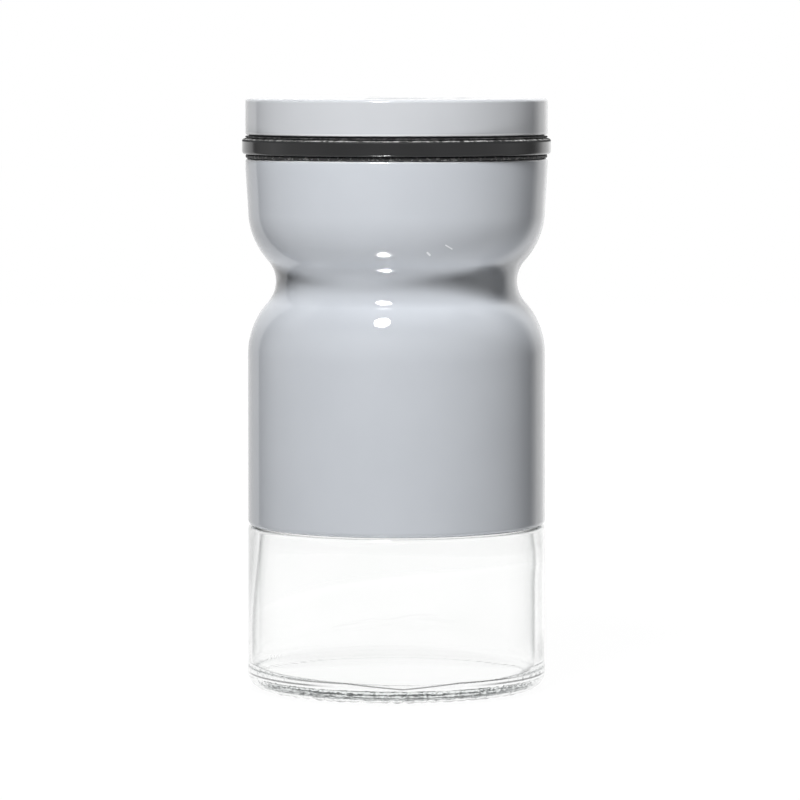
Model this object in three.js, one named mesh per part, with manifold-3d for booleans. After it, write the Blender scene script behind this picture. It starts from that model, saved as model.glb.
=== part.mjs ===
// A table salt shaker: a clear glass jar in a painted steel sleeve, closed by a screw-on lid.
// The painted dial on top of the lid turns to bring a pour slot, coarse holes, fine holes or
// a blank field over the one window in the lid.
// Millimetres, +Z up, origin at the centre of the base.

import * as THREE from "three";
import { mergeVertices } from "three/addons/utils/BufferGeometryUtils.js";
import Module from "manifold-3d";

const wasm = await Module();
wasm.setup();

// Outside of the shaker
const RIM_RADIUS = 30.0; // sleeve rim and dial cap
const BARREL_INSET = 0.4; // lower barrel of the sleeve and bare glass, in from the rim
const UPPER_INSET = 0.5; // foot of the upper barrel, in from the rim
const BAND_PROUD = 0.65; // grip band of the collar, out from the rim
const WAIST_DEPTH = 5.6; // waist, in from the lower barrel
const JAR_HEIGHT = 104.8; // floor to the jar's rim
const LEDGE_HEIGHT = 32.3; // bare glass, up to the ledge that carries the sleeve
const WAIST_DROP = 24.4; // waist below the sleeve rim
const CAP_HEIGHT = 6.9; // dial cap, edge to top

// Painted steel
const SHEET = 0.6;
const HEM_BEND = 0.4; // inside radius of the rolled-in hem at the sleeve's foot
const HEM_FLAT = 0.4; // flat of the hem past its bend
const LOWER_SHOULDER = 15.6; // outside radii of the sleeve's curves
const WAIST_CURVE = 6.2;
const UPPER_SHOULDER = 15.2;
const RIM_BAND = 2.0; // straight stretch under the sleeve rim
const CAP_BEND = 0.2; // inside radius of the dial cap's edge

// Glass
const JAR_WALL = 2.2; // inside the sleeve
const BASE_WALL = 1.8; // bare base
const NECK_WALL = 2.6;
const THREAD_DEPTH = 1.1; // room for the screw thread outside the neck
const FLOOR_HEIGHT = 2.6;
const FLOOR_CURVE = 2.6;
const PUNT_HEIGHT = 0.8; // hollow under the base
const BEARING_WIDTH = 2.2; // flat ring that the jar stands on
const HEEL_RADIUS = 4.0;
const HEEL_PROUD = 0.2; // swell of the heel past the bare glass
const HEEL_FADE = 2.5; // height over which that swell runs out
const LEDGE_ROUND = 1.1;
const STEP_CURVE = 24.0; // inside swell from the base to the narrower body
const STEP_RISE = 5.0; // top of that swell above the ledge
const JAR_SHOULDER = 11.0;
const NECK_CURVE = 6.0;
const NECK_DROP = 3.0; // foot of the straight neck below the waist
const FINISH_ROUND = 0.8; // rounded edges of the jar's rim

// Collar, seal and gasket
const SEAL_THICKNESS = 1.2;
const GASKET_HEAD = 0.7;
const GASKET_WALL = 1.4;
const GASKET_SPIGOT = 2.0;
const SKIRT_LENGTH = 8.6;
const SKIRT_WALL = 2.2;
const FLANGE_THICKNESS = 3.0;
const FLANGE_ROUND = 0.4;
const BAND_WALL = 2.0;
const PLATE_THICKNESS = 1.6; // web of the flange between the skirt and the band
const SEAL_SHELF = 0.6; // shelf above the seal, in from the jar's mouth
const CHIMNEY_WALL = 1.5;
const DECK_THICKNESS = 1.5;
const DECK_WEB = 2.0; // deck left inside and outside the window

// Dial
const LINER_DISC = 1.1;
const LINER_WALL = 1.4;
const LINER_FOOT = 0.5; // lip that the edge of the cap sits on
const DUST_RING_WALL = 1.2; // ring that runs round the top of the chimney
const DUST_RING_DEPTH = 2.6;
const HUB_RADIUS = 3.6;
const HUB_GROOVE = 0.8; // depth of the groove for the clip
const HUB_END = 1.0; // head below the groove
const CLIP_THICKNESS = 1.0;
const CLIP_REACH = 1.6; // clip under the deck, past the hub's hole
const CLIP_MOUTH = 50; // half of the clip's open side, degrees
const SETTINGS = 4; // pour, coarse, fine and shut
const FRONT = -90; // direction of the window, degrees
const WINDOW_HALF_ANGLE = 12; // to the centres of the window's round ends, degrees
const POUR_MARGIN = 1.0; // pour slot, in from the window's edge
const COARSE_RADIUS = 1.4;
const COARSE_ROWS = [2, 3]; // holes in each row, from the hub outwards
const FINE_RADIUS = 0.8;
const FINE_ROWS = [2, 3, 4];
const LINER_EASE = 0.15; // liner's openings, wider than the steel's
const DETENT_RADIUS = 0.8;
const DETENT_INSET = 1.7; // detents, in from the chimney's outside

// Clearances
const SLEEVE_FIT = 0.4; // glass inside the sleeve's hem, gasket inside its rim
const WAIST_FIT = 1.1; // jar thread inside the sleeve's waist
const THREAD_FIT = 0.4; // jar thread inside the collar
const SEAT_GAP = 0.3; // faces that press together when the lid is tight
const RUN_GAP = 0.3; // dial on the collar, seal in its pocket
const NIB_GAP = 0.1; // detent nib above the deck
const BOND_GAP = 0.1; // pieces fixed to each other
const CUT_OVERRUN = 1.0; // cutters past the faces they cut

// Facets
const TURN_STEPS = 40;
const HOLE_STEPS = 6; // in half a turn

// Radii, from the outside in
const barrelRadius = RIM_RADIUS - BARREL_INSET;
const upperRadius = RIM_RADIUS - UPPER_INSET;
const waistRadius = barrelRadius - WAIST_DEPTH;
const hemCurve = HEM_BEND + SHEET;
const hemRadius = barrelRadius - hemCurve - HEM_FLAT;
const bodyRadius = hemRadius - SLEEVE_FIT;
const threadRadius = waistRadius - SHEET - WAIST_FIT;
const neckRadius = threadRadius - THREAD_DEPTH;
const mouthRadius = neckRadius - NECK_WALL;
const skirtBore = threadRadius + THREAD_FIT;
const skirtRadius = skirtBore + SKIRT_WALL;
const bandRadius = RIM_RADIUS + BAND_PROUD;
const chimneyBore = mouthRadius - SEAL_SHELF;
const chimneyRadius = chimneyBore + CHIMNEY_WALL;
const linerRadius = RIM_RADIUS - SHEET - BOND_GAP;
const hubHole = HUB_RADIUS + RUN_GAP;
const grooveRadius = HUB_RADIUS - HUB_GROOVE;
const detentCircle = chimneyRadius - DETENT_INSET;

// The window in the deck, and the circle through the middle of every opening
const windowInner = hubHole + DECK_WEB;
const windowOuter = chimneyBore - DECK_WEB;
const windowWidth = windowOuter - windowInner;
const groupRadius = (windowInner + windowOuter) / 2;
const settingStep = 360 / SETTINGS;

// Heights in the lid, from the jar's rim
const sealFoot = SEAT_GAP;
const flangeFoot = sealFoot + SEAL_THICKNESS + SEAT_GAP;
const flangeTop = flangeFoot + FLANGE_THICKNESS;
const dialFoot = flangeTop + RUN_GAP;

// Heights in the dial, from its foot
const capFoot = LINER_FOOT + BOND_GAP;
const capTop = capFoot + CAP_HEIGHT;
const linerTop = capTop - SHEET - BOND_GAP;
const discFoot = linerTop - LINER_DISC;
const deckTop = discFoot - RUN_GAP;
const deckFoot = deckTop - DECK_THICKNESS;
const clipTop = deckFoot - RUN_GAP;
const clipFoot = clipTop - CLIP_THICKNESS;

// Heights of the sleeve, which reaches from the ledge to the gasket under the lid
const sleeveFoot = LEDGE_HEIGHT + SEAT_GAP;
const sleeveTop = JAR_HEIGHT + flangeFoot - SEAT_GAP - GASKET_HEAD - BOND_GAP;
const sleeveLength = sleeveTop - sleeveFoot;
const waistHeight = sleeveTop - WAIST_DROP;

const radians = THREE.MathUtils.degToRad;
const degrees = THREE.MathUtils.radToDeg;

// A point of a profile, which runs up the outside and down the inside
const at = (radius, height) => new THREE.Vector2(radius, height);

// An arc of a profile, clockwise when its end angle is the smaller one
function arc(radius, height, curve, from, to, steps) {
  const turn = [radians(from), radians(to), to < from];
  return new THREE.EllipseCurve(radius, height, curve, curve, ...turn).getPoints(steps);
}

// Two arcs that narrow a profile by a smooth double bend, which ends at topHeight
function narrowing(wide, narrow, convex, concave, topHeight, steps) {
  const reach = convex + concave;
  const across = reach - (wide - narrow);
  const rise = Math.sqrt(reach * reach - across * across);
  const slope = degrees(Math.acos(across / reach));
  return [
    ...arc(wide - convex, topHeight - rise, convex, 0, slope, steps),
    ...arc(narrow + concave, topHeight, concave, 180 + slope, 180, steps),
  ];
}

// The same double bend upside down, from footHeight
function widening(wide, narrow, convex, concave, footHeight, steps) {
  const mirrored = narrowing(wide, narrow, convex, concave, -footHeight, steps);
  return mirrored.reverse().map((point) => at(point.x, -point.y));
}

// A solid that can be joined and cut, from a closed geometry
function solidOf(geometry) {
  geometry.deleteAttribute("normal");
  geometry.deleteAttribute("uv");
  const merged = mergeVertices(geometry, 1e-4);
  const corners = merged.index.array;
  const kept = [];
  for (let i = 0; i < corners.length; i += 3) {
    const [a, b, c] = corners.slice(i, i + 3);
    if (a !== b && b !== c && c !== a) kept.push(a, b, c);
  }
  const vertProperties = merged.attributes.position.array;
  const triVerts = new Uint32Array(kept);
  return new wasm.Manifold(new wasm.Mesh({ numProp: 3, vertProperties, triVerts }));
}

function geometryOf(solid) {
  const mesh = solid.getMesh();
  const geometry = new THREE.BufferGeometry();
  geometry.setAttribute("position", new THREE.BufferAttribute(mesh.vertProperties, 3));
  geometry.setIndex(new THREE.BufferAttribute(mesh.triVerts, 1));
  const faceted = geometry.toNonIndexed();
  faceted.computeVertexNormals();
  return faceted;
}

// A solid of revolution about Z; a profile that starts off the axis closes on itself
function revolve(profile) {
  const points = profile.filter((point, i) => i === 0 || point.distanceTo(profile[i - 1]) > 1e-6);
  if (points[0].x > 0) points.push(points[0].clone());
  const lathe = new THREE.LatheGeometry(points, TURN_STEPS);
  return solidOf(lathe.rotateX(Math.PI / 2));
}

// An upright prism of a flat shape, between two heights
function prism(shape, foot, top) {
  const settings = { depth: top - foot, bevelEnabled: false, curveSegments: HOLE_STEPS };
  return solidOf(new THREE.ExtrudeGeometry(shape, settings).translate(0, 0, foot));
}

function circleShape(x, y, radius) {
  return new THREE.Shape().absarc(x, y, radius, 0, 2 * Math.PI, false);
}

// A curved slot with round ends on the openings' circle, about a direction
function slotShape(direction, halfWidth) {
  const start = radians(direction - WINDOW_HALF_ANGLE);
  const end = radians(direction + WINDOW_HALF_ANGLE);
  const middle = (angle) => [groupRadius * Math.cos(angle), groupRadius * Math.sin(angle)];
  const shape = new THREE.Shape();
  shape.absarc(0, 0, groupRadius + halfWidth, start, end, false);
  shape.absarc(...middle(end), halfWidth, end, end + Math.PI, false);
  shape.absarc(0, 0, groupRadius - halfWidth, end, start, true);
  shape.absarc(...middle(start), halfWidth, start + Math.PI, start + 2 * Math.PI, false);
  return shape;
}

// Round holes in rows that share out the window's width, about a direction
function holeShapes(direction, rows, radius) {
  const pitch = windowWidth / rows.length;
  return rows.flatMap((count, row) => {
    const distance = windowInner + (row + 0.5) * pitch;
    return Array.from({ length: count }, (_, i) => {
      const angle = radians(direction) + ((i - (count - 1) / 2) * pitch) / distance;
      return circleShape(distance * Math.cos(angle), distance * Math.sin(angle), radius);
    });
  });
}

// The dial's openings, setting by setting from the front; the last setting has none
function cutOpenings(solid, ease, foot, top) {
  const shapes = [
    slotShape(FRONT, windowWidth / 2 - POUR_MARGIN + ease),
    ...holeShapes(FRONT + settingStep, COARSE_ROWS, COARSE_RADIUS + ease),
    ...holeShapes(FRONT + 2 * settingStep, FINE_ROWS, FINE_RADIUS + ease),
  ];
  return shapes.reduce((left, shape) => left.subtract(prism(shape, foot, top)), solid);
}

// A detent's round body, halfway between two settings
function detent(setting, radius, foot, top) {
  const angle = radians(FRONT + (setting + 0.5) * settingStep);
  const centre = [detentCircle * Math.cos(angle), detentCircle * Math.sin(angle)];
  return prism(circleShape(...centre, radius), foot, top);
}

// Glass jar: hollow base, bare lower part, ledge for the sleeve, shoulder and neck
function glassJar() {
  const bearingOuter = barrelRadius + HEEL_PROUD - HEEL_RADIUS;
  const bearingInner = bearingOuter - BEARING_WIDTH;
  const puntCurve = (bearingInner ** 2 + PUNT_HEIGHT ** 2) / (2 * PUNT_HEIGHT);
  const puntAngle = degrees(Math.asin(bearingInner / puntCurve));
  const neckFoot = waistHeight - NECK_DROP;
  const outside = [
    ...arc(0, PUNT_HEIGHT - puntCurve, puntCurve, 90, 90 - puntAngle, 3),
    ...arc(bearingOuter, HEEL_RADIUS, HEEL_RADIUS, -90, 0, 4),
    at(barrelRadius, HEEL_RADIUS + HEEL_FADE),
    ...arc(barrelRadius - LEDGE_ROUND, LEDGE_HEIGHT - LEDGE_ROUND, LEDGE_ROUND, 0, 90, 3),
    at(bodyRadius, LEDGE_HEIGHT),
    ...narrowing(bodyRadius, neckRadius, JAR_SHOULDER, NECK_CURVE, neckFoot, 3),
    ...arc(neckRadius - FINISH_ROUND, JAR_HEIGHT - FINISH_ROUND, FINISH_ROUND, 0, 90, 2),
  ];
  const baseBore = barrelRadius - BASE_WALL;
  const bodyBore = bodyRadius - JAR_WALL;
  const innerCurves = [JAR_SHOULDER - JAR_WALL, NECK_CURVE + NECK_WALL];
  const inside = [
    at(0, FLOOR_HEIGHT),
    ...arc(baseBore - FLOOR_CURVE, FLOOR_HEIGHT + FLOOR_CURVE, FLOOR_CURVE, -90, 0, 3),
    ...narrowing(baseBore, bodyBore, STEP_CURVE, STEP_CURVE, LEDGE_HEIGHT + STEP_RISE, 2),
    ...narrowing(bodyBore, mouthRadius, ...innerCurves, neckFoot, 3),
    ...arc(mouthRadius + FINISH_ROUND, JAR_HEIGHT - FINISH_ROUND, FINISH_ROUND, 180, 90, 2),
  ];
  return revolve([...outside, ...inside.reverse()]);
}

// One face of the sleeve's sheet, upwards from its hem; inset is 0 outside and SHEET inside
function sleeveFace(inset) {
  const waist = waistHeight - sleeveFoot;
  const waistCurves = [waistRadius - inset, WAIST_CURVE + inset];
  const [narrow, concave] = waistCurves;
  return [
    at(hemRadius, inset),
    ...arc(barrelRadius - hemCurve, hemCurve, hemCurve - inset, -90, 0, 3),
    ...narrowing(barrelRadius - inset, narrow, LOWER_SHOULDER - inset, concave, waist, 3),
    ...widening(upperRadius - inset, narrow, UPPER_SHOULDER - inset, concave, waist, 3),
    at(RIM_RADIUS - inset, sleeveLength - RIM_BAND),
    at(RIM_RADIUS - inset, sleeveLength),
  ];
}

// Painted steel sleeve, from its rolled-in hem over the waist to the rim
function outerSleeve() {
  return revolve([...sleeveFace(0), ...sleeveFace(SHEET).reverse()]);
}

// Rubber ring on the sleeve's rim, with a spigot inside it
function rimGasket() {
  const spigotRadius = RIM_RADIUS - SHEET - SLEEVE_FIT;
  const bore = spigotRadius - GASKET_WALL;
  return revolve([
    at(bore, -GASKET_SPIGOT),
    at(spigotRadius, -GASKET_SPIGOT),
    at(spigotRadius, BOND_GAP),
    at(RIM_RADIUS, BOND_GAP),
    at(RIM_RADIUS, BOND_GAP + GASKET_HEAD),
    at(bore, BOND_GAP + GASKET_HEAD),
  ]);
}

// Flat ring between the jar's rim and the collar
function lidSeal() {
  const outer = skirtBore - RUN_GAP;
  const top = sealFoot + SEAL_THICKNESS;
  return revolve([at(mouthRadius, sealFoot), at(outer, sealFoot), at(outer, top), at(mouthRadius, top)]);
}

// Screw collar: skirt round the jar's neck, flange with the grip band, chimney and deck
function lidCollar() {
  const bandBore = bandRadius - BAND_WALL;
  const plateFoot = flangeTop - PLATE_THICKNESS;
  const skirtFoot = flangeFoot - SKIRT_LENGTH;
  const [deckLow, deckHigh] = [dialFoot + deckFoot, dialFoot + deckTop];
  const body = revolve([
    at(skirtBore, skirtFoot),
    at(skirtRadius, skirtFoot),
    at(skirtRadius, plateFoot),
    at(bandBore, plateFoot),
    at(bandBore, flangeFoot),
    ...arc(bandRadius - FLANGE_ROUND, flangeFoot + FLANGE_ROUND, FLANGE_ROUND, -90, 0, 2),
    ...arc(bandRadius - FLANGE_ROUND, flangeTop - FLANGE_ROUND, FLANGE_ROUND, 0, 90, 2),
    at(chimneyRadius, flangeTop),
    at(chimneyRadius, deckHigh),
    at(hubHole, deckHigh),
    at(hubHole, deckLow),
    at(chimneyBore, deckLow),
    at(chimneyBore, flangeFoot),
    at(skirtBore, flangeFoot),
  ]);
  const windowShape = slotShape(FRONT, windowWidth / 2);
  let cut = body.subtract(prism(windowShape, deckLow - CUT_OVERRUN, deckHigh + CUT_OVERRUN));
  for (let setting = 0; setting < SETTINGS; setting++) {
    const dimple = detent(setting, DETENT_RADIUS + RUN_GAP, deckHigh - RUN_GAP, deckHigh + CUT_OVERRUN);
    cut = cut.subtract(dimple);
  }
  return cut;
}

// Plastic liner of the dial: hub with a groove, disc, dust ring, and wall with a foot for the cap
function dialLiner() {
  const ringBore = chimneyRadius + RUN_GAP;
  const ringRadius = ringBore + DUST_RING_WALL;
  const ringFoot = discFoot - DUST_RING_DEPTH;
  const grooveFoot = clipFoot - BOND_GAP;
  const grooveTop = clipTop + BOND_GAP;
  const body = revolve([
    at(0, grooveFoot - HUB_END),
    at(HUB_RADIUS, grooveFoot - HUB_END),
    at(HUB_RADIUS, grooveFoot),
    at(grooveRadius, grooveFoot),
    at(grooveRadius, grooveTop),
    at(HUB_RADIUS, grooveTop),
    at(HUB_RADIUS, discFoot),
    at(ringBore, discFoot),
    at(ringBore, ringFoot),
    at(ringRadius, ringFoot),
    at(ringRadius, discFoot),
    at(linerRadius - LINER_WALL, discFoot),
    at(linerRadius - LINER_WALL, 0),
    at(RIM_RADIUS, 0),
    at(RIM_RADIUS, LINER_FOOT),
    at(linerRadius, LINER_FOOT),
    ...arc(linerRadius - CAP_BEND, linerTop - CAP_BEND, CAP_BEND, 0, 90, 2),
    at(0, linerTop),
  ]);
  const nib = detent(0, DETENT_RADIUS, deckTop + NIB_GAP, linerTop - BOND_GAP);
  return cutOpenings(body.add(nib), LINER_EASE, discFoot - CUT_OVERRUN, linerTop + CUT_OVERRUN);
}

// Painted steel cap of the dial, with the openings of every setting
function dialCap() {
  const edge = [RIM_RADIUS - SHEET - CAP_BEND, capTop - SHEET - CAP_BEND];
  const body = revolve([
    at(0, capTop - SHEET),
    ...arc(...edge, CAP_BEND, 90, 0, 2),
    at(RIM_RADIUS - SHEET, capFoot),
    at(RIM_RADIUS, capFoot),
    ...arc(...edge, CAP_BEND + SHEET, 0, 90, 3),
    at(0, capTop),
  ]);
  return cutOpenings(body, 0, capTop - SHEET - CUT_OVERRUN, capTop + CUT_OVERRUN);
}

// Clip in the hub's groove, under the deck, open towards the back
function hubClip() {
  const start = radians(FRONT + 180 + CLIP_MOUTH);
  const end = radians(FRONT + 540 - CLIP_MOUTH);
  const shape = new THREE.Shape();
  shape.absarc(0, 0, hubHole + CLIP_REACH, start, end, false);
  shape.absarc(0, 0, grooveRadius + BOND_GAP, end, start, true);
  return prism(shape, clipFoot, clipTop);
}

// Finishes
const finish = (color, roughness, more) =>
  new THREE.MeshStandardMaterial({ color, roughness, metalness: 0, ...more });
const greyPaint = () => finish(0xbcc0c6, 0.16);
const clearGlass = () => finish(0xf2f6f4, 0.04, { transparent: true, opacity: 0.3 });
const blackPlastic = () => finish(0x303032, 0.35);
const blackRubber = () => finish(0x1f1f21, 0.8);
const paleSilicone = () => finish(0xd9dad6, 0.6);

function piece(name, solid, material, height) {
  const mesh = new THREE.Mesh(geometryOf(solid), material);
  mesh.name = name;
  mesh.position.z = height;
  return mesh;
}

// The dial, from its foot
const dial = new THREE.Group();
dial.position.z = dialFoot;
dial.add(
  piece("dial_liner", dialLiner(), blackPlastic(), 0),
  piece("dial_cap", dialCap(), greyPaint(), 0),
  piece("hub_clip", hubClip(), blackPlastic(), 0),
);

// The lid, from the jar's rim
const lid = new THREE.Group();
lid.position.z = JAR_HEIGHT;
lid.add(
  piece("lid_seal", lidSeal(), paleSilicone(), 0),
  piece("lid_collar", lidCollar(), blackPlastic(), 0),
  dial,
);

const shaker = new THREE.Group();
shaker.add(
  piece("glass_jar", glassJar(), clearGlass(), 0),
  piece("outer_sleeve", outerSleeve(), greyPaint(), sleeveFoot),
  piece("rim_gasket", rimGasket(), blackRubber(), sleeveTop),
  lid,
);

export default shaker;
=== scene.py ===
"""Looks of a table salt shaker: a clear glass jar in a painted steel sleeve, under a screw-on lid with
a dial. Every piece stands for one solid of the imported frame. Sizes are millimetres in the profiles
and become metres when a mesh is made."""

from math import acos, atan2, cos, degrees, pi, radians, sin, sqrt, tan

import bmesh
import bpy
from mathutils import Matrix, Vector, noise


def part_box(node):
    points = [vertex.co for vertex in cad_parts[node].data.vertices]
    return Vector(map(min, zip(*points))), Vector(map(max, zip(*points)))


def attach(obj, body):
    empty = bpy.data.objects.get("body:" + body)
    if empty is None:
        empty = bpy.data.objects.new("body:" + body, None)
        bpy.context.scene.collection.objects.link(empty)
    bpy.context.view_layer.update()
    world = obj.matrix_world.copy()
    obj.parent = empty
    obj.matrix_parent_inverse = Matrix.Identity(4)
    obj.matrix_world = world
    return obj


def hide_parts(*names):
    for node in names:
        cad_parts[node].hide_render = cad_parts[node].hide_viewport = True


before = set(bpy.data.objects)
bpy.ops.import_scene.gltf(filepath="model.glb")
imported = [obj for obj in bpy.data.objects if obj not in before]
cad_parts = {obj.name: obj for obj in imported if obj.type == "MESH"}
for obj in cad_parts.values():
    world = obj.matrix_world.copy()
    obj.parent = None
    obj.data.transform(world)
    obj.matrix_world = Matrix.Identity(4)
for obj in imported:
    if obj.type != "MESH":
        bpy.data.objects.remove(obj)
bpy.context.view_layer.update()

MM = 0.001

# Steps of a full turn, of a hole and of rounded corners, and limits that all meshes share
FINE_TURN = 384
PLAIN_TURN = 256
SMALL_TURN = 96
HOLE_STEPS = 32
CORNER_STEPS = 4
BEVEL_STEPS = 3
BEVEL_ANGLE = radians(55)
SHARP_ANGLE = radians(38)
MERGE_DISTANCE = 1e-7
AXIS_LIMIT = 1e-6
WALL_LIMIT = 0.01

# Painted steel sleeve and cap
SHEET = 0.6
SHEET_ROUND = 0.2
EDGE_ROUND = 0.5
BARREL_INSET = 0.4
UPPER_INSET = 0.5
HEM_BEND = 1.0
HEM_RADIUS = 28.2
HEM_STEPS = 8
LOWER_SHOULDER = 15.6
WAIST_RADIUS = 24.0
WAIST_DROP = 24.4
WAIST_CURVE = 6.2
WAIST_STEPS = 18
UPPER_SHOULDER = 15.2
RIM_BAND = 2.0
CAP_EDGE = 0.7

# Paint, a painted highlight along a thin edge, two nicks painted as near-white glints, and the bare steel
# inside
SLEEVE_GREYS = ((0.575, 0.605, 0.65), (0.605, 0.635, 0.68))
# the cap's greys are a little darker than the sleeve's, partly as painted shade
CAP_SHADED_GREYS = ((0.566, 0.584, 0.612), (0.595, 0.612, 0.64))
STEEL_GREYS = ((0.34, 0.34, 0.35), (0.44, 0.44, 0.45))
INWARD_SPAN = (-0.012, -0.006)
# painted highlight along the sleeve's rim and the cap's foot
EDGE_HIGHLIGHT = (0.72, 0.73, 0.75, 1)
HIGHLIGHT_REACH = 0.25
# near-white colour of two scratches, painted as their glints
NICK_GLINT_COLOUR = (0.95, 0.97, 1.0, 1)
NICK_CORE = 0.5
NICK_SIDE = (-1.0, 0.0)
GLINTING_NICKS = [((6.0, 87.85), (6.45, 87.4), 0.26), ((9.55, 89.3), (10.75, 88.55), 0.17)]
PAINT_IOR = 1.5

# Outside of the glass jar, from its base upwards
PUNT_HEIGHT = 0.35
PUNT_STEPS = 24
BEARING_INNER = 23.6
BEARING_OUTER = 26.5
BEARING_STEPS = 6
HEEL_CURVE = 3.3
HEEL_STEPS = 18
HEEL_FADE = 2.5
HEEL_FADE_STEPS = 5
BARREL_RADIUS = 29.6
BARREL_RUNG = 1.5
LEDGE_HEIGHT = 32.3
LEDGE_ROUND = 0.5
LEDGE_STEPS = 8
LEDGE_FILLET = 0.5
FILLET_STEPS = 4
BODY_RADIUS = 27.8
JAR_SHOULDER = 11.0
SHOULDER_STEPS = 10
NECK_RADIUS = 21.2
NECK_CURVE = 6.0
NECK_DROP = 3.0
NECK_RUNG = 6.0
FINISH_ROUND = 0.8
FINISH_STEPS = 6

# Knurl round the jar's foot
KNURLS = 64
KNURL_DEPTH = 0.26
KNURL_MEAN = 0.75
KNURL_SPREAD = 0.9
KNURL_PATCHES = 12
KNURL_DRIFT = 1.6
DRIFT_PATCHES = 5
KNURL_TOP = (0.1, 1.1)
KNURL_EDGE = (BEARING_OUTER - 0.9, BEARING_OUTER - 0.2)

# Bore of the jar: wide and a little off the axis at its foot, narrower above a tilted step
FLOOR_HEIGHT = 2.6
FLOOR_STEPS = 8
FLOOR_CURVE = 2.6
FLOOR_CURVE_STEPS = 14
BORE_FOOT = FLOOR_HEIGHT + FLOOR_CURVE
BORE_RUNG = 0.9
BASE_BORE = 28.3
STEP_FOOT = 17.0
STEP_TILT = 7.0
STEP_TOP = 46.0
BODY_BORE = 25.6
BODY_RUNG = 4.0
BORE_SHOULDER = 13.0
MOUTH_RADIUS = 18.6
BORE_SHIFT = 0.45
SHIFT_FULL = 5.0
SHIFT_FADE = (30.0, 50.0)
WAVE_DEPTH = 0.02
WAVE_RISE = 14.0
WAVE_LENGTH = 25.0
WAVE_PATCHES = 1.6

# Painted dark lines and specks in the heel, painted contact shade along the foot, dents, and the stippled
# underside; a pair says where a mark is whole and where it has faded out
# painted contact shade in flecks along the foot's edge
FOOT_TOP = (0.45, 0.6)
FOOT_EDGE = (BEARING_OUTER - 0.2, BEARING_OUTER - 0.6)
HEEL_EDGE = (BEARING_OUTER + 1.2, BEARING_OUTER + 0.8)
HEEL_BAND = (HEEL_CURVE - 1.0, HEEL_CURVE - 0.6)
# heights of the painted dark lines that stand in for refraction lines in the heel
HEEL_LINES = (0.45, 1.27, 2.74)
HEEL_LINE_WIDTH = 0.09
HEEL_GREY = 0.1
HEEL_STRENGTH = 0.8
# a painted dark line across the heel's front, standing in for a refraction line, dips at this place
FOLD_DIP_PLACE = 1.3
FOLD_HEIGHT = 3.2
FOLD_RISE = 0.95
FOLD_SPAN = 11.0
FOLD_REACH = (20.0, 27.0)
FOLD_WIDTH = 0.13
FOLD_FRONT = (-8.0, -2.0)
FOLD_STRENGTH = 0.92
SIDE_FOLD_HEIGHT = 3.4
SIDE_FOLD_REACH = (19.0, 13.0)
SIDE_FOLD_WIDTH = 0.17
DENT_TOP = (HEEL_CURVE + 0.4, HEEL_CURVE + 1.4)
DENT_EDGE = (BEARING_OUTER + 0.4, BEARING_OUTER - 0.4)
UNDERSIDE_TOP = (PUNT_HEIGHT + 0.1, PUNT_HEIGHT + 0.3)
UNDERSIDE_EDGE = (BEARING_OUTER - 1.0, BEARING_OUTER - 0.6)

# Light and shade in the glass wall, by place and by the slant at which a face is seen
BORE_LIMIT = BASE_BORE + BORE_SHIFT + 0.15
BORE_EDGE = (BORE_LIMIT, BORE_LIMIT + 0.2)
OUTER_EDGE = (BORE_LIMIT + 0.4, BORE_LIMIT + 0.2)
BELOW_FLOOR = (FLOOR_HEIGHT - 0.2, FLOOR_HEIGHT - 0.1)
ABOVE_FLOOR = (FLOOR_HEIGHT + 0.1, FLOOR_HEIGHT + 0.05)
BORE_FILLET = (BORE_FOOT, BORE_FOOT + 2.0)
BORE_WALL = BORE_FILLET[::-1]
WITHIN_SLANT = (0.6, 0.92)
WALL_SLANT = (0.232, 0.252)
FILLET_SLANT = (0.2, 0.25)
SHADE_EDGE = (BARREL_RADIUS - 0.2, BARREL_RADIUS - 0.4)
SHADE_FOOT = (HEEL_CURVE + HEEL_FADE, HEEL_CURVE)
SHADE_RISE = (0.58, 0.66)
SHADE_FALL = (0.68, 0.9)
MIRROR_FOOT = (BORE_FOOT + 1.0, BORE_FOOT)
MIRROR_SLANT = (0.25, 0.28)
MIRROR_BLUR = 0.22

# Colours of the glass, and of the painted shade and painted dark lines laid on it
CLEAR = (1, 1, 1)
GLASS_TINTS = ((0.985, 0.99, 0.985), CLEAR)
# painted shade where the bore's wall is seen edge on
BORE_EDGE_SHADE = [
    (0.0, CLEAR),
    (0.4, (0.86, 0.87, 0.87)),
    (0.75, (0.35, 0.36, 0.36)),
    (1.0, (0.12, 0.125, 0.125)),
]
# painted dark lines and contact shade, then painted shade beside the bare wall's edges
PAINTED_LINE_TINT = (0.05, 0.05, 0.05)
SHADE_TINT = (0.88, 0.88, 0.88)
DEPTH_TINT = (0.80, 0.84, 0.83, 1)
DEPTH_DENSITY = 10.0
GLASS_IOR = 1.5
UNDERSIDE_IOR = 1.05

# Screw thread
THREAD_LEAD = 6.0
THREAD_STARTS = 2
THREAD_CREST = 0.7
THREAD_FLANK = 0.55
THREAD_FADE = 1.2
NECK_THREAD = (7.2, 1.2)
NECK_THREAD_DEPTH = 1.1
NECK_THREAD_RUNG = 0.16
NECK_PHASE = 0.0
SKIRT_THREAD = (0.6, 1.0)
SKIRT_THREAD_DEPTH = 0.85
SKIRT_THREAD_RUNG = 0.18
SKIRT_PHASE = 0.5

# Collar, gasket and seal
SKIRT_BORE = 22.7
SKIRT_RADIUS = 24.9
SEAT_GAP = 0.1
RING_DROP = 0.25
BAND_RISE = 0.3
BAND_HEIGHT = 3.0
BAND_WALL = 2.0
BAND_ROUND = 0.6
BAND_WEAR = 0.07
BAND_PATCHES = 30
WEB_THICKNESS = 1.6
CHIMNEY_BORE = 18.0
CHIMNEY_RADIUS = 19.5
DECK_THICKNESS = 1.5
HUB_HOLE = 3.9
GASKET_BORE = 27.6
GASKET_SPIGOT = 29.0
GASKET_HEAD = 0.7
GASKET_UNEVEN = 0.1
GASKET_PATCHES = 45
MOULD_ROUND = 0.2
LIP_ROUND = 0.12

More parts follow.
